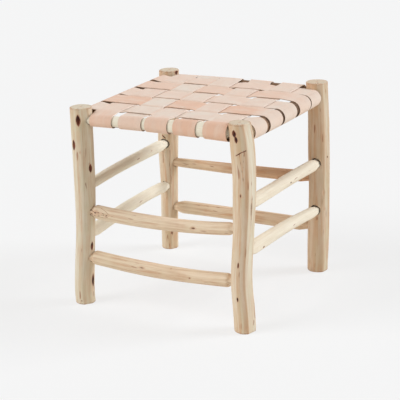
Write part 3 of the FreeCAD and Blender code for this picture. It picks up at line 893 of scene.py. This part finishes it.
def build_strap(node, way, rails, settings):
    """The mesh of one strap, woven over and under those that it crosses, and its flat width and length."""
    along, _, crossing_way = WAYS[way]
    across = 1 - along
    lay = StrapLay(node, across)
    others = [StrapLay(name, along) for name in strap_names(crossing_way)]
    levels = weave_levels(node, along, [other.middle for other in others], settings.thickness)
    paths, lift = strap_lines(lay, others, levels, rails, settings)
    section = strap_section(lay.width, settings)
    share = section[:, 0] / lay.width + 0.5
    line = np.minimum((share * (settings.lines - 1)).astype(int), settings.lines - 2)
    part = (share * (settings.lines - 1) - line)[None, :, None]
    path = paths[:, line] * (1 - part) + paths[:, line + 1] * part
    heading = np.gradient(path, axis=0)
    heading /= np.linalg.norm(heading, axis=2, keepdims=True)
    upward = np.stack([-heading[..., 1], heading[..., 0]], axis=-1)
    arch = settings.crown * lift[:, None] * (1 - (2 * section[:, 0] / lay.width) ** 2)
    flat = path + upward * (section[:, 1] + arch)[..., None]
    travel = np.concatenate([[0], np.cumsum(np.linalg.norm(np.diff(path.mean(axis=1), axis=0), axis=1))])
    draw = random.Random(node)
    wander = np.zeros((len(travel), 2))
    for pace in WANDER_PACES:
        for side in (0, 1):
            wander[:, side] += np.sin(pace * travel + draw.uniform(0, TURN)) / len(WANDER_PACES)
    drift = wander[:, :1] * (1 - share) + wander[:, 1:] * share
    points = np.empty(flat.shape[:2] + (3,))
    points[..., along] = flat[..., 0]
    points[..., across] = lay.centre(flat[..., 0]) + section[:, 0] + settings.edge_wander * drift
    points[..., 2] = flat[..., 1]
    grain = np.empty_like(points)
    grain[..., 0] = section[:, 0] + draw.uniform(0, GRAIN_SHIFT)
    grain[..., 1] = section[:, 1]
    grain[..., 2] = travel[:, None]
    # How sharply the strap curves, which sets the painted shade on its wraps
    bend = np.linalg.norm(np.gradient(heading.mean(axis=1), axis=0), axis=1) / np.gradient(travel)
    # Painted shade of the cut edges: darkest round the rails, set for each way on the seat
    shade = along_strap(travel, EDGE_CHANGE, (BENT_EDGE_SHADE, EDGE_SHADE[way], BENT_EDGE_SHADE))
    tone = along_strap(travel, TONE_CHANGE, lay.tones)
    mesh = tube_mesh(node, points)
    set_values(
        mesh,
        grain=grain.reshape(-1, 3),
        raw_edge=np.outer(shade, section[:, 2]).ravel(),
        flesh=np.tile(section[:, 3], len(travel)),
        bend=np.clip(bend * BEND_REACH, 0, 1).repeat(len(section)),
        tone=tone.repeat(len(section)))
    return mesh, lay.width, travel[-1]


class NodeMaker:
    """Adds nodes to a tree and joins them, so that a material reads from top to bottom."""

    def __init__(self, tree):
        self.tree = tree

    def add(self, kind, inputs=(), **settings):
        """A node with its own settings; inputs hold values or the sockets that feed them."""
        node = self.tree.nodes.new(kind)
        for name, value in settings.items():
            setattr(node, name, value)
        self.fill(node, dict(inputs))
        return node

    def fill(self, node, inputs):
        """Gives the sockets of a node their values or links."""
        for name, value in inputs.items():
            if isinstance(value, bpy.types.NodeSocket):
                self.tree.links.new(value, node.inputs[name])
            else:
                node.inputs[name].default_value = value

    def group(self, name, inputs):
        """A shared effect with this material's values."""
        return self.add("ShaderNodeGroup", inputs, node_tree=effect_group(name)).outputs

    def math(self, operation, first, second=0.0, third=0.0, clamp=False):
        """A sum, product or other operation on values."""
        inputs = {0: first, 1: second, 2: third}
        return self.add("ShaderNodeMath", inputs, operation=operation, use_clamp=clamp).outputs[0]

    def times(self, first, second, clamp=False):
        """The product of two values, held between 0 and 1 where that is asked."""
        return self.math("MULTIPLY", first, second, clamp=clamp)

    def total(self, start, *parts, clamp=False):
        """A value with shares of others added, held between 0 and 1 where that is asked."""
        for value, share in parts:
            start = self.math("MULTIPLY_ADD", value, share, start, clamp)
        return start

    def noise(self, vector, scale, detail, roughness):
        """A soft noise between 0 and 1."""
        inputs = {"Vector": vector, "Scale": scale, "Detail": detail, "Roughness": roughness}
        return self.add("ShaderNodeTexNoise", inputs).outputs["Fac"]

    def stretch(self, vector, share):
        """A vector whose third part, along the grain, is scaled."""
        inputs = {0: vector, 1: (1.0, 1.0, share)}
        return self.add("ShaderNodeVectorMath", inputs, operation="MULTIPLY").outputs[0]

    def band(self, value, low, high):
        """0 below one level, 1 above another, eased between them."""
        inputs = {"Value": value, "From Min": low, "From Max": high}
        return self.add("ShaderNodeMapRange", inputs, interpolation_type="SMOOTHSTEP").outputs["Result"]

    def tint(self, colour, toward, *shares):
        """A colour moved toward another by the product of some shares."""
        share = shares[0]
        for factor in shares[1:]:
            share = self.times(share, factor)
        return self.add("ShaderNodeMix", {0: share, 6: colour, 7: toward}, data_type="RGBA").outputs[2]

    def bump(self, height, strength, distance):
        """A normal tilted by a height."""
        inputs = {"Strength": strength, "Distance": distance, "Height": height}
        return self.add("ShaderNodeBump", inputs).outputs["Normal"]

    def value_of(self, name):
        """A value that the mesh holds for each point."""
        return self.add("ShaderNodeAttribute", attribute_name=name).outputs["Fac"]

    def vector_of(self, name):
        """A vector that the mesh holds for each point."""
        return self.add("ShaderNodeAttribute", attribute_name=name).outputs["Vector"]


def fibre_effect(make, given):
    """Long streaks, fine fibres, broad patches and short nicks along a grain, for wood and leather."""
    grain = given["Grain"]
    streaks = make.noise(make.stretch(grain, 0.05), given["Streak Scale"], 4.0, 0.6)
    patches = make.noise(make.stretch(grain, 0.35), given["Patch Scale"], 3.0, 0.55)
    nicks = make.noise(make.stretch(grain, 0.16), given["Streak Scale"], 1.0, 0.5)
    return {
        "Streaks": make.band(streaks, 0.40, 0.64),
        "Fibres": make.noise(make.stretch(grain, 0.02), given["Fibre Scale"], 3.0, 0.7),
        "Patches": make.band(patches, 0.42, 0.66),
        "Nicks": make.band(nicks, 0.70, 0.75),
    }


def scar_effect(make, given):
    """Turns a soft scar mask into a ragged dark core, the stain round it and its two shades."""
    ragged = make.noise(make.stretch(given["Grain"], 0.4), 420.0, 3.0, 0.6)
    shifted = make.total(given["Scar"], (make.math("SUBTRACT", ragged, 0.5), 0.2))
    shades = make.noise(make.stretch(given["Grain"], 0.25), 330.0, 2.0, 0.5)
    return {
        "Core": make.band(shifted, 0.42, 0.56),
        "Stain": make.band(shifted, 0.10, 0.50),
        "Shades": make.band(shades, 0.42, 0.60),
    }


def sawn_effect(make, given):
    """Growth rings, drying cracks and the pith on a sawn end."""
    ring_width = 2.4 * MM
    across = make.stretch(given["Grain"], 0.0)
    length = make.add("ShaderNodeVectorMath", {0: across}, operation="LENGTH").outputs["Value"]
    bent = make.total(length, (make.noise(across, 55.0, 2.0, 0.5), 0.006))
    axes = make.add("ShaderNodeSeparateXYZ", {0: given["Grain"]}).outputs
    turn = make.math("ARCTAN2", axes["Y"], axes["X"])
    spoke = make.add("ShaderNodeCombineXYZ", {"X": make.times(turn, 2.2), "Y": make.times(length, 14.0)})
    return {
        "Rings": make.band(make.math("SINE", make.times(bent, TURN / ring_width)), -0.4, 1.0),
        "Cracks": make.band(make.noise(spoke.outputs[0], 2.1, 2.0, 0.5), 0.62, 0.70),
        "Pith": make.band(length, 4.2 * MM, 1.2 * MM),
    }


def mottle_effect(make, given):
    """Cloudy colour at two scales, for leather, steel and wood."""
    return {
        "Clouds": make.band(make.noise(given["Place"], given["Broad"], 4.0, 0.55), 0.30, 0.72),
        "Specks": make.noise(given["Place"], given["Fine"], 3.0, 0.65),
    }


def hide_effect(make, given):
    """The pebbled grain, pores and growth lines of leather."""
    place = given["Place"]
    pebbles = {"Vector": make.stretch(place, 0.72), "Scale": given["Pebble Scale"], "Smoothness": 0.6}
    cells = make.add("ShaderNodeTexVoronoi", pebbles, feature="SMOOTH_F1")
    fine = make.noise(place, 2600.0, 2.0, 0.6)
    dots = make.add("ShaderNodeTexVoronoi", {"Vector": place, "Scale": 520.0}, feature="F1")
    folded = make.noise(make.stretch(place, 0.28), 90.0, 5.0, 0.62)
    return {
        "Height": make.total(0.0, (cells.outputs["Distance"], 0.8), (fine, 0.5)),
        "Pores": make.band(dots.outputs["Distance"], 0.16, 0.05),
        "Lines": make.band(make.math("ABSOLUTE", make.math("SUBTRACT", folded, 0.5)), 0.03, 0.0),
    }


# The shared effects: what makes each, the vector that it takes and the values that it takes
EFFECTS = {
    "Fibre Grain": (fibre_effect, "Grain", ("Streak Scale", "Fibre Scale", "Patch Scale")),
    "Scar Stain": (scar_effect, "Grain", ("Scar",)),
    "Sawn End": (sawn_effect, "Grain", ()),
    "Mottle": (mottle_effect, "Place", ("Broad", "Fine")),
    "Hide Grain": (hide_effect, "Place", ("Pebble Scale",)),
}


def effect_group(name):
    """The shader group of a shared effect, built once."""
    tree = bpy.data.node_groups.get(name)
    if tree:
        return tree
    effect, vector, values = EFFECTS[name]
    tree = bpy.data.node_groups.new(name, "ShaderNodeTree")
    tree.interface.new_socket(vector, in_out="INPUT", socket_type="NodeSocketVector")
    for value in values:
        tree.interface.new_socket(value, in_out="INPUT", socket_type="NodeSocketFloat")
    make = NodeMaker(tree)
    results = effect(make, make.add("NodeGroupInput").outputs)
    for result in results:
        tree.interface.new_socket(result, in_out="OUTPUT", socket_type="NodeSocketFloat")
    make.add("NodeGroupOutput", results)
    return tree


def new_material(name):
    """A new material, the maker of its nodes and its shader."""
    material = bpy.data.materials.new(name)
    material.use_nodes = True
    return material, NodeMaker(material.node_tree), material.node_tree.nodes["Principled BSDF"]


def colours_of(settings, *names):
    """Some colours of the settings, as shaders take them."""
    return [tuple(getattr(settings, name)) + (1.0,) for name in names]


def branch_material(name, settings):
    """Peeled, unfinished branch wood, with painted shade in its mortises and painted light and shade in its
    colour.
    """
    base, streak_share, patch_share, rosy_share = WOODS[name]
    material, make, shader = new_material(name)
    grain = make.vector_of("grain")
    tone = make.value_of("tone")
    sawn_mask = make.value_of("sawn")
    hollow = make.value_of("hollow")
    fibre = make.group("Fibre Grain", {"Grain": grain, "Streak Scale": 150.0, "Fibre Scale": 900.0,
                                       "Patch Scale": 34.0})
    scar = make.group("Scar Stain", {"Scar": make.value_of("scar"), "Grain": grain})
    sawn = make.group("Sawn End", {"Grain": grain})
    mottle = make.group("Mottle", {"Place": grain, "Broad": 18.0, "Fine": 700.0})
    base_wood, honey, olive, rosy, cream, brown, rust, dark, end_wood, bark = colours_of(
        settings, base, "honey", "olive", "rosy", "cream", "brown", "rust", "scar", "sawn", "bark")
    colour = make.tint(base_wood, honey, fibre["Streaks"], streak_share)
    colour = make.tint(colour, olive, fibre["Patches"], patch_share)
    colour = make.tint(colour, rosy, mottle["Clouds"], fibre["Streaks"], rosy_share)
    # Cream, brown and near black by the pole's values: partly the wood's own colour, partly painted light
    # and shade
    colour = make.tint(colour, cream, make.times(tone, 0.85, True))
    colour = make.tint(colour, brown, make.times(tone, -0.85, True))
    # Near black below -1: painted shade in the gaps over the back, left and right rails
    colour = make.tint(colour, bark, make.total(-1.0, (tone, -1.0), clamp=True))
    fibres = make.band(fibre["Fibres"], 0.30, 0.62)
    colour = make.tint(colour, honey, make.math("SUBTRACT", 1.0, fibres), 0.24)
    colour = make.tint(colour, rust, fibre["Nicks"], 0.6)
    end_colour = make.tint(end_wood, honey, sawn["Rings"], 0.4)
    end_colour = make.tint(end_colour, rosy, sawn["Pith"], 0.7)
    end_colour = make.tint(end_colour, dark, sawn["Cracks"], 0.6)
    # The sawn end is browned with the leg's values, so it carries the same painted shade
    end_colour = make.tint(end_colour, brown, make.times(tone, -0.4, True))
    colour = make.tint(colour, end_colour, sawn_mask)
    colour = make.tint(colour, rust, make.value_of("rim"), make.band(mottle["Specks"], 0.42, 0.62), 0.75)
    colour = make.tint(colour, rosy, scar["Stain"], 0.5)
    colour = make.tint(colour, make.tint(dark, rust, scar["Shades"], 0.6), scar["Core"])
    height = make.total(0.0, (fibre["Fibres"], 0.55), (fibre["Streaks"], 0.35),
                        (make.times(sawn["Rings"], sawn_mask), 0.4), (scar["Core"], -0.8))
    make.fill(shader, {
        # The mortise walls are painted dark: painted shade in the hollows
        "Base Color": make.tint(colour, dark, hollow),
        "Roughness": make.total(0.52, (fibres, 0.16), (sawn_mask, 0.2), clamp=True),
        "Specular IOR Level": make.total(0.35, (hollow, -0.35), clamp=True),
        "Normal": make.bump(height, 0.8, 0.4 * MM),
    })
    return material


def leather_material(settings):
    """Undyed vegetable tanned leather, with a rough flesh side and raw cut edges, and painted light and
    shade on its edges and wraps.
    """
    name = "strap leather"
    material = bpy.data.materials.get(name)
    if material:
        return material
    material, make, shader = new_material(name)
    place = make.vector_of("grain")
    tone = make.value_of("tone")
    raw = make.value_of("raw_edge")
    flesh = make.value_of("flesh")
    hide = make.group("Hide Grain", {"Place": place, "Pebble Scale": 1100.0})
    mottle = make.group("Mottle", {"Place": place, "Broad": 26.0, "Fine": 420.0})
    fibre = make.group("Fibre Grain", {"Grain": place, "Streak Scale": 800.0, "Fibre Scale": 2400.0,
                                       "Patch Scale": 60.0})
    natural, cream, peach, flesh_colour, edge_colour, dark_shaded_edge, pale_lit_edge = colours_of(
        settings, "natural", "cream", "peach", "flesh", "raw_edge", "dark_shaded_edge", "pale_lit_edge")
    # Cream and peach by the strap's values: partly the leather's own, partly painted light at the right
    # wraps and painted shade at the front wraps
    colour = make.tint(natural, cream, make.times(tone, 1.0, True))
    colour = make.tint(colour, peach, make.times(tone, -1.0, True))
    colour = make.tint(colour, cream, fibre["Patches"], 0.35)
    colour = make.tint(colour, peach, mottle["Clouds"], 0.28)
    # Peach where the strap curves round a rail: painted shade on the wraps
    colour = make.tint(colour, peach, make.value_of("bend"), 0.28)
    colour = make.tint(colour, edge_colour, hide["Lines"], 0.06)
    colour = make.tint(colour, edge_colour, hide["Pores"], 0.06)
    rough_side = make.tint(flesh_colour, edge_colour, mottle["Specks"], 0.5)
    colour = make.tint(colour, rough_side, make.band(flesh, 0.55, 0.95))
    # Pale edges on the lengthwise straps in the weave: partly painted light
    colour = make.tint(colour, pale_lit_edge, make.band(raw, 0.08, 0.26), make.band(raw, 0.5, 0.35))
    # Dark cut edges of the crosswise straps, near black round the rails: painted shade, partly the edge's
    # own brown
    cut_edge = make.tint(edge_colour, flesh_colour, fibre["Fibres"], 0.55)
    cut_edge = make.tint(cut_edge, dark_shaded_edge, make.total(-0.9, (raw, 1.0), clamp=True))
    height = make.total(hide["Height"], (hide["Pores"], -0.35), (hide["Lines"], -0.25),
                        (make.times(fibre["Fibres"], raw), 1.5))
    cut_or_flesh = make.math("MAXIMUM", raw, flesh)
    make.fill(shader, {
        "Base Color": make.tint(colour, cut_edge, make.band(raw, 0.45, 0.95), 0.9),
        "Roughness": make.total(0.58, (mottle["Specks"], 0.16), (cut_or_flesh, 0.25), clamp=True),
        "Specular IOR Level": 0.2,
        "Normal": make.bump(height, 0.35, 0.25 * MM),
    })
    return material


def tack_material(settings):
    """Blued steel with worn patches."""
    material, make, shader = new_material("tack steel")
    place = make.add("ShaderNodeTexCoord").outputs["Object"]
    mottle = make.group("Mottle", {"Place": place, "Broad": 420.0, "Fine": 2600.0})
    blued, worn = colours_of(settings, "blued", "worn")
    make.fill(shader, {
        "Base Color": make.tint(blued, worn, mottle["Clouds"]),
        "Roughness": make.total(0.28, (mottle["Specks"], 0.3)),
        "Metallic": 1.0,
        "Normal": make.bump(mottle["Specks"], 0.2, 0.1 * MM),
    })
    return material


def seen_directly(make):
    """1 where the camera looks straight at a surface, or sees it mirrored or through glass."""
    path = make.add("ShaderNodeLightPath").outputs
    seen = make.math("ADD", path["Is Camera Ray"], path["Is Glossy Ray"])
    return make.math("ADD", seen, path["Is Transmission Ray"], clamp=True)


def floor_material(settings):
    """A plain pale floor that keeps a faint shadow."""
    material, make, shader = new_material("pale floor")
    colour, bounce = colours_of(settings, "floor", "bounce")
    seen = seen_directly(make)
    make.fill(shader, {
        "Base Color": make.tint(bounce, colour, seen),
        "Roughness": 0.9,
        "Specular IOR Level": 0.0,
    })
    even = make.add("ShaderNodeEmission", {"Color": colour, "Strength": 1.0})
    share = make.times(seen, 1.0 - settings.shadow)
    blend = make.add("ShaderNodeMixShader", {0: share, 1: shader.outputs[0], 2: even.outputs[0]})
    make.fill(material.node_tree.nodes["Material Output"], {"Surface": blend.outputs[0]})
    return material


def leg_poles(leg):
    """The poles that enter a leg, each with the end that it enters by."""
    depth, width = leg.split("_")
    for side, end in ((depth, int(width == "right")), (width, int(depth == "back"))):
        for name in (RAIL,) + STRETCHERS:
            yield branch_of(name % side, SIDE_AXIS[side]), end


def add_poles(settings, wood, names, proud):
    """Models the poles of all four sides that bear some names."""
    material = branch_material(wood, settings)
    for side, axis in SIDE_AXIS.items():
        for name in names:
            branch = branch_of(name % side, axis)
            piece = linked("branch_" + branch.node, build_pole(branch, settings, proud))
            dress_branch(piece, branch, material, POLE_SHARP)


class STOOL_OT_legs(bpy.types.Operator):
    """Model the four legs, with their scars, sawn ends and mortises"""

    bl_idname = "stool.legs"
    bl_label = "Add Legs"

    def execute(self, context):
        settings = context.scene.stool_branch
        material = branch_material("leg wood", settings)
        for leg in LEGS:
            branch = branch_of("leg_" + leg, 2)
            piece = linked("branch_" + branch.node, build_leg(branch, settings))
            cut_mortises(piece, [mortise_cutter(pole, end, settings) for pole, end in leg_poles(leg)])
            dress_branch(piece, branch, material, LEG_SHARP)
        return {"FINISHED"}


class STOOL_OT_rails(bpy.types.Operator):
    """Model the four seat rails under the straps"""

    bl_idname = "stool.rails"
    bl_label = "Add Seat Rails"

    def execute(self, context):
        settings = context.scene.stool_branch
        add_poles(settings, "rail wood", (RAIL,), settings.rail_lump)
        return {"FINISHED"}


class STOOL_OT_stretchers(bpy.types.Operator):
    """Model the eight stretchers, whittled where they enter the legs"""

    bl_idname = "stool.stretchers"
    bl_label = "Add Stretchers"

    def execute(self, context):
        settings = context.scene.stool_branch
        add_poles(settings, "stretcher wood", STRETCHERS, settings.lump)
        return {"FINISHED"}


def strap_names(way):
    """The straps that run one way, in order."""
    return sorted(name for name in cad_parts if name.startswith("strap_" + way))


def add_straps(context, way):
    """Models the straps that run one way between two rails."""
    settings = context.scene.stool_strap
    material = leather_material(settings)
    rail_sides = WAYS[way][1]
    rails = [branch_of(RAIL % side, SIDE_AXIS[side]) for side in rail_sides]
    for node in strap_names(way):
        mesh, width, length = build_strap(node, way, rails, settings)
        piece = linked("leather_" + node, mesh)
        place_piece(piece, node, material, STRAP_SHARP)
        ["seat_rail_" + side for side in rail_sides]


class STOOL_OT_lengthwise_straps(bpy.types.Operator):
    """Weave the straps that run from the front rail to the back rail"""

    bl_idname = "stool.lengthwise_straps"
    bl_label = "Add Lengthwise Straps"

    def execute(self, context):
        add_straps(context, "lengthwise")
        return {"FINISHED"}


class STOOL_OT_crosswise_straps(bpy.types.Operator):
    """Weave the straps that run from the left rail to the right rail"""

    bl_idname = "stool.crosswise_straps"
    bl_label = "Add Crosswise Straps"

    def execute(self, context):
        add_straps(context, "crosswise")
        return {"FINISHED"}


class STOOL_OT_tacks(bpy.types.Operator):
    """Model the tacks that hold the strap ends under the rails"""

    bl_idname = "stool.tacks"
    bl_label = "Add Tacks"

    def execute(self, context):
        material = tack_material(context.scene.stool_strap)
        for way, (along, rail_sides, _) in WAYS.items():
            axis = 1 - along
            lays = [StrapLay(name, axis) for name in strap_names(way)]
            for end, side in enumerate(rail_sides):
                rail = branch_of(RAIL % side, axis)
                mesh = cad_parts["tacks_" + side].data.copy()
                points = mesh_points(mesh)
                before = points[:, axis].copy()
                nearest = np.argmin([np.abs(before - lay.middle) for lay in lays], axis=0)
                points[:, axis] += np.array([lay.shifts[end] for lay in lays])[nearest]
                for cross, old, new in zip(rail.across, rail.centre(before), rail.centre(points[:, axis])):
                    points[:, cross] += new - old
                mesh.vertices.foreach_set("co", points.ravel())
                mesh.update()
                place_piece(linked("steel_tacks_" + side, mesh), "tacks_" + side, material, TACK_SHARP)
        return {"FINISHED"}


def outward(azimuth, elevation):
    """A direction turned to the right of the front and up."""
    level = math.cos(elevation)
    return Vector((math.sin(azimuth) * level, -math.cos(azimuth) * level, math.sin(elevation)))


def add_sun(name, strength, azimuth, elevation, softness, colour):
    """A wide soft light with no falloff, so that the floor stays even."""
    lamp = bpy.data.lights.new(name, "SUN")
    lamp.energy = strength
    lamp.color = colour
    lamp.angle = math.radians(softness)
    toward = outward(math.radians(azimuth), math.radians(elevation))
    linked(name, lamp).rotation_euler = toward.to_track_quat("Z", "Y").to_euler()


def add_camera(settings):
    """The camera at the photograph's place."""
    camera = linked("camera", bpy.data.cameras.new("camera"))
    camera.data.lens = settings.lens
    camera.data.sensor_width = settings.sensor
    camera.data.clip_end = settings.view_end
    back = outward(settings.azimuth, settings.elevation)
    turn = back.to_track_quat("Z", "Y").to_matrix().to_4x4() @ Matrix.Rotation(settings.roll, 4, "Z")
    camera.matrix_world = Matrix.Translation(Vector(settings.target) + back * settings.distance) @ turn
    bpy.context.scene.camera = camera


def add_world(settings):
    """Even light all round, and a pale background where the camera looks past the floor."""
    world = bpy.data.worlds.new("studio")
    world.use_nodes = True
    bpy.context.scene.world = world
    make = NodeMaker(world.node_tree)
    seen = seen_directly(make)
    make.fill(world.node_tree.nodes["Background"], {
        "Color": make.tint(AMBIENT_COLOUR, colours_of(settings, "floor")[0], seen),
        "Strength": make.total(settings.ambient, (seen, 1.0 - settings.ambient)),
    })


class STOOL_OT_stage(bpy.types.Operator):
    """Add the floor, the soft light and the camera"""

    bl_idname = "stool.stage"
    bl_label = "Add Stage"

    def execute(self, context):
        settings = context.scene.stool_stage
        context.scene.view_settings.view_transform = "Standard"
        half = settings.floor_size / 2
        corners = np.array([(-half, -half, 0), (half, -half, 0), (half, half, 0), (-half, half, 0)])
        floor = linked("floor", mesh_from("floor", corners, [[0, 1, 2, 3]]))
        floor.data.materials.append(floor_material(settings))
        for side, place in LIGHTS.items():
            add_sun(side + " light", getattr(settings, side + "_light"), *place)
        add_world(settings)
        add_camera(settings)
        return {"FINISHED"}


class STOOL_PT_panel(bpy.types.Panel):
    """Settings and steps of the stool"""

    bl_idname = "STOOL_PT_panel"
    bl_label = "Woven Stool"
    bl_space_type = "VIEW_3D"
    bl_region_type = "UI"
    bl_category = "Stool"

    def draw(self, context):
        for group in GROUPS:
            settings = getattr(context.scene, group)
            box = self.layout.box()
            for name in settings.bl_rna.properties.keys():
                if name not in ("rna_type", "name"):
                    box.prop(settings, name)
        for step in STEPS:
            self.layout.operator(step.bl_idname)


GROUPS = {
    "stool_branch": StoolBranchSettings,
    "stool_strap": StoolStrapSettings,
    "stool_stage": StoolStageSettings,
}
STEPS = (
    STOOL_OT_legs,
    STOOL_OT_rails,
    STOOL_OT_stretchers,
    STOOL_OT_lengthwise_straps,
    STOOL_OT_crosswise_straps,
    STOOL_OT_tacks,
    STOOL_OT_stage,
)
CLASSES = tuple(GROUPS.values()) + STEPS + (STOOL_PT_panel,)


def register():
    """Adds the settings, steps and panel."""
    for entry in CLASSES:
        bpy.utils.register_class(entry)
    for name, group in GROUPS.items():
        setattr(bpy.types.Scene, name, PointerProperty(type=group))


def unregister():
    """Removes what register added."""
    for name in GROUPS:
        delattr(bpy.types.Scene, name)
    for entry in reversed(CLASSES):
        bpy.utils.unregister_class(entry)


def main():
    """Dresses the stool."""
    register()
    bpy.ops.stool.legs()
    bpy.ops.stool.rails()
    bpy.ops.stool.stretchers()
    bpy.ops.stool.lengthwise_straps()
    bpy.ops.stool.crosswise_straps()
    bpy.ops.stool.tacks()
    bpy.ops.stool.stage()


if __name__ == "__main__":
    main()
